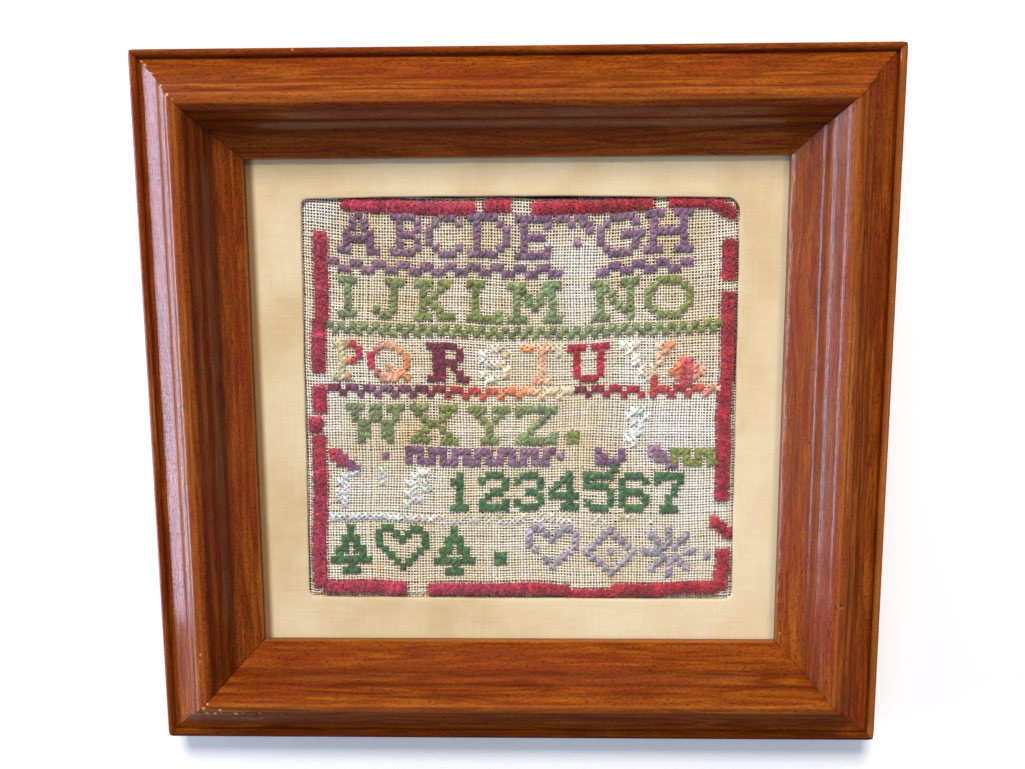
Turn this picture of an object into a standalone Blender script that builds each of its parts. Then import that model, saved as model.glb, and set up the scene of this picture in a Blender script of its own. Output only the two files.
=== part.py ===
"""Framed cross stitch sampler, lying on its back with the stitched face up.

Four mitred rails of one mahogany moulding hold a cloth-covered mount. The stitched canvas shows in
the mount's window, stretched over a raised field on the backboard, with its edges turned down.
Metres. +X is the picture's right, +Y its top and +Z its face. The origin is the middle of the back.
"""
import math

import bmesh
import bpy
from mathutils import Matrix

MM = 0.001

FRAME_WIDTH = 320.0 * MM
FRAME_HEIGHT = 303.0 * MM
PIECE_GAP = 0.3 * MM

# Rail section: u runs from the outer edge towards the picture, z up from the back.
# Each curved stretch of the face goes from its foot to its top, drawn towards a point between them.
RAIL_WIDTH = 44.6 * MM
SIDE_SET_BACK = 0.4 * MM
BEAD_RADIUS = 1.65 * MM
BEAD_Z = 16.0 * MM
BEAD_END_ANGLE = -17
QUIRK = (3.35 * MM, 15.1 * MM)
BAND_FOOT = (3.8 * MM, 15.6 * MM)
BAND_HOLLOW = (9.2 * MM, 17.8 * MM)
BAND_TOP = (13.6 * MM, 21.4 * MM)
FILLET_FOOT = (13.7 * MM, 21.9 * MM)
FILLET_HOLLOW = (16.4 * MM, 24.7 * MM)
FILLET_TOP = (18.5 * MM, 28.3 * MM)
RIDGE_FOOT = (18.7 * MM, 29.0 * MM)
RIDGE_SHOULDER = (20.2 * MM, 33.7 * MM)
RIDGE_CREST = (24.2 * MM, 33.9 * MM)
RIDGE_BROW = (25.9 * MM, 34.0 * MM)
RIDGE_INNER = (26.7 * MM, 33.4 * MM)
FALL_TOP = (26.9 * MM, 32.8 * MM)
FALL_SHOULDER = (29.3 * MM, 31.2 * MM)
FALL_FOOT = (29.9 * MM, 25.6 * MM)
COVE_TOP = (30.2 * MM, 25.0 * MM)
COVE_HOLLOW = (31.0 * MM, 22.9 * MM)
SLOPE_TOP = (33.4 * MM, 21.3 * MM)
SIGHT_Z = 12.0 * MM
SIGHT_ROUND = 0.7 * MM
SIGHT_START_ANGLE = 52
REBATE_DEPTH = 9.0 * MM
REBATE_WIDTH = 6.0 * MM
CORNER_ROUND = {
    "top_left": 2.6 * MM,
    "top_right": 2.2 * MM,
    "bottom_right": 3.5 * MM,
    "bottom_left": 3.0 * MM,
}
MITRE_BLOCK_Z = (-5.0 * MM, 40.0 * MM)
MITRE_BLOCK_REACH = RAIL_WIDTH + 2.0 * MM

# Mount, canvas and backboard in the rebate.
MOUNT_THICKNESS = 1.8 * MM
WINDOW_ROUND = 3.0 * MM
WINDOW_CORNERS = (
    (-92.4 * MM, 90.7 * MM),
    (95.3 * MM, 90.1 * MM),
    (96.5 * MM, -88.5 * MM),
    (-95.0 * MM, -87.7 * MM),
)
CLOTH_THICKNESS = 1.2 * MM
CLOTH_TOP_Z = 7.5 * MM
CLOTH_MARGIN = 4.0 * MM
CLOTH_DROP = 2.4 * MM
CLOTH_ROLL = 4.5 * MM
CLOTH_CORNER_EASE = 0.35
CLOTH_RIPPLE = 0.16 * MM
RIPPLE_SPACING = (13.0 * MM, 17.0 * MM)
CROSS_RIPPLE_SPACING = (31.0 * MM, 9.0 * MM)
CROSS_RIPPLE_SHARE = 0.6
CLOTH_CELLS = (38, 36)
BOARD_THICKNESS = 2.2 * MM
FIELD_INSET = 6.0 * MM
FIELD_OVERLAP = 1.0 * MM

CORNER_STEPS = 6
ROUND_FACES_ANGLE = 35

COLLECTION_NAME = "framed_cross_stitch_sampler"
CUTTER_COLLECTION_NAME = "cutters"


def clear_scene():
    """Remove whatever the open file holds."""
    for item in list(bpy.data.objects):
        bpy.data.objects.remove(item, do_unlink=True)


def new_collection(name):
    """Return a new collection linked to the scene."""
    collection = bpy.data.collections.new(name)
    bpy.context.scene.collection.children.link(collection)
    return collection


def material(name, colour, roughness, metallic=0.0):
    """Return a Principled material of one colour."""
    result = bpy.data.materials.new(name)
    result.use_nodes = True
    shader = result.node_tree.nodes["Principled BSDF"]
    shader.inputs["Base Color"].default_value = (*colour, 1.0)
    shader.inputs["Roughness"].default_value = roughness
    shader.inputs["Metallic"].default_value = metallic
    result.diffuse_color = (*colour, 1.0)
    return result


def arc(centre, radius, start, end, steps):
    """Points on a circle from the start angle to the end angle, in degrees."""
    points = []
    for step in range(steps + 1):
        angle = math.radians(start + (end - start) * step / steps)
        points.append((centre[0] + radius * math.cos(angle), centre[1] + radius * math.sin(angle)))
    return points


def bend(start, control, end, steps):
    """Points on a quadratic curve that leaves start and reaches end along lines through control."""
    points = []
    for step in range(steps + 1):
        t = step / steps
        a, b, c = (1 - t) ** 2, 2 * t * (1 - t), t ** 2
        points.append(tuple(a * s + b * m + c * e for s, m, e in zip(start, control, end)))
    return points


def rail_section():
    """Return the moulding's closed outline, up the outer side, over the face and down the rebate."""
    bead_centre = (BEAD_RADIUS, BEAD_Z)
    side_angle = 180 + math.degrees(math.acos(1 - SIDE_SET_BACK / BEAD_RADIUS))
    points = [(SIDE_SET_BACK, 0.0)]
    points += arc(bead_centre, BEAD_RADIUS, side_angle, 180, 2)
    points += arc(bead_centre, BEAD_RADIUS, 180, BEAD_END_ANGLE, 8)[1:]
    points += [QUIRK]
    points += bend(BAND_FOOT, BAND_HOLLOW, BAND_TOP, 6)
    points += bend(FILLET_FOOT, FILLET_HOLLOW, FILLET_TOP, 4)
    points += bend(RIDGE_FOOT, RIDGE_SHOULDER, RIDGE_CREST, 8)
    points += bend(RIDGE_CREST, RIDGE_BROW, RIDGE_INNER, 3)[1:]
    points += bend(FALL_TOP, FALL_SHOULDER, FALL_FOOT, 5)
    points += bend(COVE_TOP, COVE_HOLLOW, SLOPE_TOP, 4)
    sight_centre = (RAIL_WIDTH - SIGHT_ROUND, SIGHT_Z - SIGHT_ROUND)
    points += arc(sight_centre, SIGHT_ROUND, SIGHT_START_ANGLE, 0, 3)
    points += [(RAIL_WIDTH, REBATE_DEPTH)]
    points += [(RAIL_WIDTH - REBATE_WIDTH, REBATE_DEPTH), (RAIL_WIDTH - REBATE_WIDTH, 0.0)]
    return points


def rounded_outline(corners, radius):
    """Return a four-cornered outline with each corner turned by an arc of the radius."""
    points = []
    count = len(corners)
    for index, corner in enumerate(corners):
        before, after = corners[index - 1], corners[(index + 1) % count]
        arrive = math.atan2(corner[1] - before[1], corner[0] - before[0])
        leave = math.atan2(after[1] - corner[1], after[0] - corner[0])
        turn = (leave - arrive + math.pi) % (2 * math.pi) - math.pi
        side = math.copysign(1.0, turn)
        reach = radius * math.tan(abs(turn) / 2)
        tangent = (corner[0] - reach * math.cos(arrive), corner[1] - reach * math.sin(arrive))
        centre = (
            tangent[0] - side * radius * math.sin(arrive),
            tangent[1] + side * radius * math.cos(arrive),
        )
        start = math.degrees(arrive - side * math.pi / 2)
        points += arc(centre, radius, start, start + math.degrees(turn), CORNER_STEPS)
    return points


def prism(name, outlines, low, high, collection):
    """Fill flat outlines, extrude them from low to high along local Z and return a closed mesh."""
    curve = bpy.data.curves.new(name, "CURVE")
    curve.dimensions = "2D"
    curve.fill_mode = "BOTH"
    curve.extrude = (high - low) / 2
    for outline in outlines:
        spline = curve.splines.new("POLY")
        spline.points.add(len(outline) - 1)
        for point, place in zip(spline.points, outline):
            point.co = (place[0], place[1], 0.0, 1.0)
        spline.use_cyclic_u = True
    drawn = bpy.data.objects.new(name + "_outline", curve)
    collection.objects.link(drawn)
    drawn.location.z = (high + low) / 2
    bpy.context.view_layer.update()
    evaluated = drawn.evaluated_get(bpy.context.evaluated_depsgraph_get())
    mesh = bpy.data.meshes.new_from_object(evaluated)
    weld_and_face_out(mesh)
    solid = bpy.data.objects.new(name, mesh)
    solid.matrix_world = drawn.matrix_world
    collection.objects.link(solid)
    bpy.data.objects.remove(drawn, do_unlink=True)
    bpy.data.curves.remove(curve)
    return solid


def weld_and_face_out(mesh):
    """Weld the loose caps of a converted outline and point every face outwards."""
    edit = bmesh.new()
    edit.from_mesh(mesh)
    bmesh.ops.remove_doubles(edit, verts=edit.verts, dist=0.001 * MM)
    bmesh.ops.recalc_face_normals(edit, faces=edit.faces)
    edit.to_mesh(mesh)
    edit.free()


def join_solid(target, tool, operation):
    """Add an exact Boolean with another object."""
    cut = target.modifiers.new(operation.lower(), "BOOLEAN")
    cut.operation = operation
    cut.solver = "EXACT"
    cut.object = tool


def as_cutter(tool):
    """Keep a cutter out of sight."""
    tool.hide_render = True
    tool.display_type = "WIRE"


def finish_piece(piece, name, finish):
    """Name a piece, give it its material and shade its round parts smooth."""
    piece.name = name
    piece.data.name = name
    piece.data.materials.clear()
    piece.data.materials.append(finish)
    piece.data.shade_smooth()
    piece.data.set_sharp_from_angle(angle=math.radians(ROUND_FACES_ANGLE))


def mitre_outline(length, left_round, right_round):
    """Return the plan of one rail, outer edge at y = 0, with mitred ends and worn outer corners."""
    half = length / 2
    reach = MITRE_BLOCK_REACH
    slip = PIECE_GAP / 2 * math.sqrt(2)
    left_turn = math.degrees(math.asin(slip / (left_round * math.sqrt(2))))
    right_turn = math.degrees(math.asin(slip / (right_round * math.sqrt(2))))
    points = arc((-half + left_round, left_round), left_round, 225 + left_turn, 270, 4)
    points += arc((half - right_round, right_round), right_round, 270, 315 - right_turn, 4)
    points += [(half - reach - slip, reach), (-half + reach + slip, reach)]
    return points


def make_rail(name, length, quarter_turns, offset, rounds, finish, parts, cutters):
    """Make one rail along its side of the frame, turned into place by quarter turns."""
    rail = prism(name, [rail_section()], -length / 2, length / 2, parts)
    block = prism(name + "_mitre", [mitre_outline(length, *rounds)], *MITRE_BLOCK_Z, cutters)
    lay_down = Matrix(((0, 0, 1, 0), (1, 0, 0, 0), (0, 1, 0, 0), (0, 0, 0, 1)))
    place = Matrix.Rotation(quarter_turns * math.pi / 2, 4, "Z") @ Matrix.Translation((0, -offset, 0))
    rail.matrix_world = place @ lay_down
    block.matrix_world = place @ Matrix.Translation(block.location)
    as_cutter(block)
    join_solid(rail, block, "INTERSECT")
    finish_piece(rail, name, finish)


def make_rails(finish, parts, cutters):
    """Make the four rails, anticlockwise from the bottom."""
    sides = (
        ("rail_bottom", FRAME_WIDTH, FRAME_HEIGHT, "bottom_left", "bottom_right"),
        ("rail_right", FRAME_HEIGHT, FRAME_WIDTH, "bottom_right", "top_right"),
        ("rail_top", FRAME_WIDTH, FRAME_HEIGHT, "top_right", "top_left"),
        ("rail_left", FRAME_HEIGHT, FRAME_WIDTH, "top_left", "bottom_left"),
    )
    for turns, (name, length, across, left, right) in enumerate(sides):
        rounds = (CORNER_ROUND[left], CORNER_ROUND[right])
        make_rail(name, length, turns, across / 2, rounds, finish, parts, cutters)


def rebate_size():
    """Return the width and height of the space inside the rebate."""
    inset = 2 * (RAIL_WIDTH - REBATE_WIDTH)
    return FRAME_WIDTH - inset, FRAME_HEIGHT - inset


def rectangle(width, height):
    """Return the corners of a centred rectangle."""
    x, y = width / 2, height / 2
    return [(-x, -y), (x, -y), (x, y), (-x, y)]


def make_mount(finish, parts):
    """Make the covered mount, with the round-cornered window cut through it."""
    width, height = rebate_size()
    top = REBATE_DEPTH - PIECE_GAP
    outer = rectangle(width - 2 * PIECE_GAP, height - 2 * PIECE_GAP)
    window = rounded_outline(WINDOW_CORNERS, WINDOW_ROUND)
    mount = prism("mount_board", [outer, window], top - MOUNT_THICKNESS, top, parts)
    finish_piece(mount, "mount_board", finish)


def window_side(place, low_end, high_end, across, along):
    """Return how far a place lies inside one side of the window, from the side's two ends."""
    share = (place[along] - low_end[along]) / (high_end[along] - low_end[along])
    return place[across] - (low_end[across] + share * (high_end[across] - low_end[across]))


def inside_window(x, y):
    """Return the distance of a point inside the window's four sides, least one first."""
    top_left, top_right, bottom_right, bottom_left = WINDOW_CORNERS
    place = (x, y)
    left = window_side(place, bottom_left, top_left, 0, 1)
    right = -window_side(place, bottom_right, top_right, 0, 1)
    bottom = window_side(place, bottom_left, bottom_right, 1, 0)
    top = -window_side(place, top_left, top_right, 1, 0)
    return sorted((left, right, bottom, top))


def roll_down(distance):
    """Return 0 on the flat of the cloth and 1 at and past the window's edge, eased between."""
    share = min(max(1 - distance / CLOTH_ROLL, 0.0), 1.0)
    return share * share * (3 - 2 * share)


def cloth_height(x, y):
    """Height of the canvas's face: level with slow ripples, and turned down at the window's edges."""
    nearest, second = inside_window(x, y)[:2]
    stay = (1 - roll_down(nearest)) * (1 - CLOTH_CORNER_EASE * roll_down(second))
    ripple = math.sin(x / RIPPLE_SPACING[0] + 0.7) * math.cos(y / RIPPLE_SPACING[1])
    cross_phase = x / CROSS_RIPPLE_SPACING[0] + y / CROSS_RIPPLE_SPACING[1] + 1.9
    ripple += CROSS_RIPPLE_SHARE * math.sin(cross_phase)
    return CLOTH_TOP_Z - CLOTH_DROP * (1 - stay) + CLOTH_RIPPLE * ripple * stay


def make_cloth(finish, parts):
    """Make the stretched canvas as one thin sheet that reaches a little way under the mount."""
    xs = [corner[0] for corner in WINDOW_CORNERS]
    ys = [corner[1] for corner in WINDOW_CORNERS]
    middle = ((max(xs) + min(xs)) / 2, (max(ys) + min(ys)) / 2)
    half = ((max(xs) - min(xs)) / 2 + CLOTH_MARGIN, (max(ys) - min(ys)) / 2 + CLOTH_MARGIN)
    bpy.ops.mesh.primitive_grid_add(x_subdivisions=CLOTH_CELLS[0], y_subdivisions=CLOTH_CELLS[1], size=2)
    cloth = bpy.context.active_object
    for vertex in cloth.data.vertices:
        x = middle[0] + half[0] * math.sin(vertex.co.x * math.pi / 2)
        y = middle[1] + half[1] * math.sin(vertex.co.y * math.pi / 2)
        vertex.co = (x, y, cloth_height(x, y))
    for owner in list(cloth.users_collection):
        owner.objects.unlink(cloth)
    parts.objects.link(cloth)
    skin = cloth.modifiers.new("thickness", "SOLIDIFY")
    skin.thickness = CLOTH_THICKNESS
    skin.offset = -1.0
    finish_piece(cloth, "sampler_cloth", finish)


def make_backboard(finish, parts, cutters):
    """Make the plain board in the rebate, with the raised field that the canvas lies over."""
    width, height = rebate_size()
    board_top = CLOTH_TOP_Z - CLOTH_DROP - CLOTH_THICKNESS - PIECE_GAP
    field_top = CLOTH_TOP_Z - 2 * CLOTH_RIPPLE - CLOTH_THICKNESS - PIECE_GAP
    outer = rectangle(width - 2 * PIECE_GAP, height - 2 * PIECE_GAP)
    board = prism("backboard", [outer], board_top - BOARD_THICKNESS, board_top, parts)
    middle_x = sum(corner[0] for corner in WINDOW_CORNERS) / 4
    middle_y = sum(corner[1] for corner in WINDOW_CORNERS) / 4
    field_outline = []
    for x, y in WINDOW_CORNERS:
        field_outline.append(
            (x - math.copysign(FIELD_INSET, x - middle_x), y - math.copysign(FIELD_INSET, y - middle_y))
        )
    field = prism("backboard_field", [field_outline], board_top - FIELD_OVERLAP, field_top, cutters)
    as_cutter(field)
    join_solid(board, field, "UNION")
    finish_piece(board, "backboard", finish)


def main():
    """Build the framed sampler."""
    clear_scene()
    parts = new_collection(COLLECTION_NAME)
    cutters = new_collection(CUTTER_COLLECTION_NAME)
    wood = material("mahogany", (0.25, 0.07, 0.02), 0.28)
    mount_cloth = material("mount_cloth", (0.66, 0.52, 0.34), 0.85)
    canvas = material("canvas", (0.62, 0.52, 0.36), 0.9)
    board = material("board", (0.10, 0.07, 0.05), 0.9)
    make_rails(wood, parts, cutters)
    make_mount(mount_cloth, parts)
    make_cloth(canvas, parts)
    make_backboard(board, parts, cutters)


main()
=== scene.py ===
import math

import bpy
import numpy as np
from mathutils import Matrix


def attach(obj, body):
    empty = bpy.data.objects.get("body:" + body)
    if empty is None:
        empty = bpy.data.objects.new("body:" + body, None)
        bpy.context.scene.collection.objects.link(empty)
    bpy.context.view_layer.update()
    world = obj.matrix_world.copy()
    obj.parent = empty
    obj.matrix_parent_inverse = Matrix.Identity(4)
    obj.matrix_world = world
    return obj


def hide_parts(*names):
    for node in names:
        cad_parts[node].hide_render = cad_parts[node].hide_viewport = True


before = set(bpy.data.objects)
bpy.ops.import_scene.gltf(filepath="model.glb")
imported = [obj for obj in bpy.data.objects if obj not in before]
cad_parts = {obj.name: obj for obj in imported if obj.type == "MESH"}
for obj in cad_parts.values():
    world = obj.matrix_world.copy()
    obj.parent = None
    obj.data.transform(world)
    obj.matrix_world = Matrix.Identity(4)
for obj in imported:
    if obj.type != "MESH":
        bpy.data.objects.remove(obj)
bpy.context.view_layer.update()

mm = 0.001


# Colour from sRGB hex to the linear values that shaders use.
def linear(hexColour):
    parts = [int(hexColour[i:i + 2], 16) / 255 for i in (1, 3, 5)]
    return [p / 12.92 if p <= 0.04045 else ((p + 0.055) / 1.055) ** 2.4 for p in parts] + [1.0]


# One shader node: names with a capital and numbers set sockets, the rest set the node's own fields.
def addNode(tree, kind, settings=None, links=None, stops=None):
    node = tree.nodes.new("ShaderNode" + kind)
    for key, value in (settings or {}).items():
        if isinstance(key, int) or key[0].isupper():
            node.inputs[key].default_value = value
        else:
            setattr(node, key, value)
    for key, socket in (links or {}).items():
        tree.links.new(socket, node.inputs[key])
    if stops:
        ramp = node.color_ramp.elements
        while len(ramp) < len(stops):
            ramp.new(0.5)
        for element, (place, colour) in zip(ramp, stops):
            element.position = place
            element.color = colour
    return node


# An empty material with one shader joined to its output.
def newMaterial(name, shaderSettings):
    material = bpy.data.materials.new(name)
    material.use_nodes = True
    tree = material.node_tree
    tree.nodes.clear()
    shader = addNode(tree, "BsdfPrincipled", shaderSettings)
    addNode(tree, "OutputMaterial", links={"Surface": shader.outputs[0]})
    return material, tree, shader


# A piece from points (n, 3) in metres and arrays of faces, each (count, corners). A closed shape whose
# signed volume, the sum of a . (b x c) / 6 over its fans, comes out negative is turned to face out.
def newPiece(name, points, faces, material, attributes=None, sharpAngle=None):
    volume = 0.0
    for group in faces:
        first = points[group[:, 0]]
        for i in range(1, group.shape[1] - 1):
            across = np.cross(points[group[:, i]], points[group[:, i + 1]])
            volume += np.einsum("ij,ij->i", first, across).sum()
    if volume < 0:
        faces = [group[:, ::-1] for group in faces]
    mesh = bpy.data.meshes.new(name)
    corners = np.concatenate([group.ravel() for group in faces]).astype(np.int32)
    sizes = np.concatenate([np.full(len(group), group.shape[1]) for group in faces])
    mesh.vertices.add(len(points))
    mesh.vertices.foreach_set("co", points.astype(np.float32).ravel())
    mesh.loops.add(len(corners))
    mesh.loops.foreach_set("vertex_index", corners)
    mesh.polygons.add(len(sizes))
    mesh.polygons.foreach_set("loop_start", np.concatenate([[0], np.cumsum(sizes)[:-1]]).astype(np.int32))
    mesh.update(calc_edges=True)
    for key, values in (attributes or {}).items():
        kind, field = {1: ("FLOAT", "value"), 3: ("FLOAT_VECTOR", "vector"), 4: ("FLOAT_COLOR", "color")}[
            1 if values.ndim == 1 else values.shape[1]]
        layer = mesh.attributes.new(key, kind, "POINT")
        layer.data.foreach_set(field, values.astype(np.float32).ravel())
    mesh.shade_smooth()
    if sharpAngle:
        mesh.set_sharp_from_angle(angle=math.radians(sharpAngle))
    mesh.materials.append(material)
    piece = bpy.data.objects.new(name, mesh)
    bpy.context.scene.collection.objects.link(piece)
    return piece


# Faces of many tubes at once: tube t, station s and side k sit at index (t * stations + s) * sides + k.
# Quads join each ring to the next one, and one flat face closes each end.
def tubeFaces(tubes, stations, sides):
    index = np.arange(tubes * stations * sides).reshape(tubes, stations, sides)
    beside = np.roll(index, -1, axis=2)
    quads = np.stack([index[:, :-1], beside[:, :-1], beside[:, 1:], index[:, 1:]], -1).reshape(-1, 4)
    return [quads, index[:, 0, ::-1], index[:, -1]]


# A smooth step from 0 to 1 as value goes from low to high.
def easeStep(value, low, high):
    share = np.clip((value - low) / (high - low), 0, 1)
    return share * share * (3 - 2 * share)


# Slow random waves along a line: a sum of sines of about those wavelengths, each with its own phase.
def waver(place, wavelengths, draw):
    total = 0
    for length in wavelengths:
        total = total + np.sin(place * 2 * np.pi / (length * draw.uniform(0.8, 1.25)) + draw.uniform(0, 6.28))
    return total / len(wavelengths)


# Vectors brought to length 1.
def unit(vectors):
    return vectors / np.linalg.norm(vectors, axis=-1, keepdims=True)


print("frame loaded")

# Mahogany moulding

railShape = {
    "length": 320.0, "height": 303.0, "width": 44.6, "gap": 0.1,   # mm, as the frame
    "sideSetBack": 0.4, "beadRadius": 1.65, "beadZ": 16.0, "beadEnd": -17,
    "quirk": (3.35, 15.3),
    "beadDirtAndShade": (1.5, -0.9, 0.5, 0.35),   # bottom, right, top and left rail; the bottom bead's extra dark is painted shade, and below 0 the bead is drawn lighter
    # Curves of the outline: each has its foot, pull and top as (u, z).
    "band": ((3.8, 15.6), (8.9, 18.2), (13.6, 21.4)),
    "fillet": ((13.7, 21.8), (14.4, 27.8), (18.4, 28.5)),
    "ridge": ((18.7, 29.0), (18.8, 33.9), (23.4, 33.7)),
    "brow": ((23.5, 33.65), (24.1, 33.55), (26.8, 30.9)),
    "fall": ((26.95, 30.6), (28.2, 28.6), (29.8, 26.4)),
    "step": ((30.0, 26.1), (30.9, 25.5), (31.8, 23.6)),
    "cove": ((31.9, 23.3), (32.6, 21.0), (34.3, 19.8)),
    "slopeEnd": (44.1, 12.1),
    # Dirt and painted shade in the hollows: the middle u, half width and strength of each line, and each
    # rail's share, largest on the left rail, whose inner faces turn from the window.
    "hollowDirtAndShade": ((26.9, 0.75, 1.4), (30.1, 0.6, 1.1), (33.3, 1.5, 0.7), (31.0, 3.6, 0.6)),
    "hollowDirtAndShadeShare": (0.6, 0.4, 0.9, 1.6),   # bottom, right, top, left
    "mitreDirt": (0.45, 0.3),             # mm that it reaches from the open mitre, and its strength
    "sightZ": 12.0, "sightRound": 0.7, "sightStart": 50, "rebateDepth": 9.0, "rebateWidth": 6.0,
    "cornerRounds": (2.4, 2.8, 1.5, 1.7),   # bottom left, bottom right, top right, top left
    "cornerReach": 4.0,   # mm in from the outer edge over which those rounds die out
    "stations": 136,
    "frontLevel": 9.5,    # mm; only what is above it is wavered, knocked or rubbed
    "waver": 0.11,        # mm that the hand-run lines stray
    "waves": ((170, 63, 29), (140, 47, 21)),   # mm, wavelengths sideways and in height
    "wavered": (1.0, 4.0, 43.2, 44.4),         # u where the straying starts, is full, fades and ends
    "arrisWear": 2,       # passes that soften the sharp edges
    "wearSpread": 0.6,    # mm round an arris or quirk that it colours
    "wearGain": 1.6,
    "lip": (1.2, 0.5),    # mm from the sight edge between which its rubbing sets in
    "lipWaves": (37, 11, 6), "lipWorn": (0.2, 0.25),   # mm, and mm worn down and out
    "cutFrom": 17.0, "cutApart": 60.0,   # mm in the plank, so that no two rails show the same grain
}

# Knocks, in mm: x, y, radius, depth and tone, where 1 is bare pale wood and -1 is dark dirt.
knocks = (
    (-154.6, 146.6, 0.6, 0.2, 1.0), (-152.7, 145.0, 0.7, 0.25, 1.0), (-149.4, 141.4, 0.5, 0.2, 0.9),
    (-143.2, 135.4, 0.6, 0.2, 0.9), (-138.9, 131.1, 0.7, 0.25, 1.0), (-136.6, 129.2, 0.5, 0.2, 0.8),
    (-91.3, 150.6, 0.5, 0.2, 0.9), (-137.5, -129.4, 0.8, 0.3, 1.0), (-135.6, -127.6, 0.5, 0.2, 0.9),
    (-138.1, -134.4, 0.8, 0.25, 1.0), (-134.5, -135.1, 0.9, 0.3, 1.0), (-131.5, -133.6, 0.8, 0.25, 1.0),
    (-130.3, -130.4, 0.8, 0.3, 1.0), (-125.1, -134.8, 0.9, 0.25, 1.0), (-121.6, -134.1, 0.7, 0.2, 0.9),
    (-114.5, -133.8, 0.7, 0.25, 0.9), (-137.4, -135.8, 0.6, 0.2, 0.9),
    (-137.5, -104.6, 0.5, 0.2, 0.9), (-137.7, -107.8, 0.5, 0.2, 0.8), (147.2, 125.1, 0.6, 0.2, -1.0),
    (147.4, 120.8, 0.5, 0.2, -0.9), (137.6, -81.9, 0.9, 0.3, -0.8), (146.2, -90.1, 0.7, 0.25, -0.8),
    (117.0, -85.1, 1.1, 0.35, -0.4), (117.2, -102.5, 1.2, 0.35, 0.4), (136.4, 31.0, 0.5, 0.2, 0.6),
    (-12.0, 148.0, 0.5, 0.2, -0.7), (137.2, 4.0, 0.7, 0.25, 0.5), (-62.0, 136.4, 0.5, 0.2, 0.5),
)


# Points of a quadratic curve: (1-t)^2 foot + 2t(1-t) pull + t^2 top.
def bendPoints(foot, pull, top, steps):
    t = np.linspace(0, 1, steps + 1)[:, None]
    return (1 - t) ** 2 * np.array(foot) + 2 * t * (1 - t) * np.array(pull) + t ** 2 * np.array(top)


# Points of a circle between two angles in degrees: centre + radius (cos a, sin a).
def arcPoints(centre, radius, start, end, steps):
    a = np.radians(np.linspace(start, end, steps + 1))
    return np.array(centre) + radius * np.stack([np.cos(a), np.sin(a)], -1)


# The moulding's outline in mm as (u, z), u in from the outer edge, and how worn each point is: the
# outline's turning there, spread over its neighbours, above 0 on an arris and below 0 in a quirk, less
# the dirt and painted shade of each hollow, strength * exp(-((u - middle) / half width)^2).
def railOutline(shape, turns):
    w, sight = shape["width"], shape["sightRound"]
    sideAngle = 180 + math.degrees(math.acos(1 - shape["sideSetBack"] / shape["beadRadius"]))
    bead = (shape["beadRadius"], shape["beadZ"])
    face = np.concatenate([
        arcPoints(bead, shape["beadRadius"], sideAngle, shape["beadEnd"], 15),
        [shape["quirk"]],
        bendPoints(*shape["band"], 11),
        bendPoints(*shape["fillet"], 8),
        bendPoints(*shape["ridge"], 12),
        bendPoints(*shape["brow"], 8)[1:],
        bendPoints(*shape["fall"], 6),
        bendPoints(*shape["step"], 6),
        bendPoints(*shape["cove"], 6),
        np.linspace(shape["cove"][2], shape["slopeEnd"], 8)[1:],
        arcPoints((w - sight, shape["sightZ"] - sight), sight, shape["sightStart"], 0, 4),
    ])
    for _ in range(shape["arrisWear"]):
        face[1:-1] = face[1:-1] * 0.6 + (face[:-2] + face[2:]) * 0.2
    inner = w - shape["rebateWidth"]
    back = np.concatenate([
        [(w, shape["rebateDepth"]), (inner, shape["rebateDepth"]), (inner, 0.0)],
        np.linspace((inner, 0.0), (shape["sideSetBack"], 0.0), 5)[1:],
        np.linspace((shape["sideSetBack"], 0.0), face[0], 4)[1:-1],
    ])
    outline = np.concatenate([face, back])
    ahead = np.roll(outline, -1, axis=0) - outline
    behind = outline - np.roll(outline, 1, axis=0)
    turn = np.arctan2(behind[:, 0] * ahead[:, 1] - behind[:, 1] * ahead[:, 0], (behind * ahead).sum(1))
    along = np.cumsum(np.linalg.norm(behind, axis=1))
    apart = along[:, None] - along[None, :]
    worn = -(np.exp(-(apart / shape["wearSpread"]) ** 2) * turn[None, :]).sum(1)
    # The bead takes its rail's own darkness: dirt, with painted shade on the bottom rail.
    onBead = outline[:, 0] < shape["quirk"][0] - 0.2
    worn = np.where(onBead, -shape["beadDirtAndShade"][turns], np.clip(worn * shape["wearGain"], -1, 1))
    # Dirt and painted shade along each hollow, darkest on the left rail.
    for middle, reach, strength in shape["hollowDirtAndShade"]:
        near = np.exp(-((outline[:, 0] - middle) / reach) ** 2)
        worn = worn - strength * shape["hollowDirtAndShadeShare"][turns] * near
    worn[len(face):] = 0
    return outline, worn, along, len(face)


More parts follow.
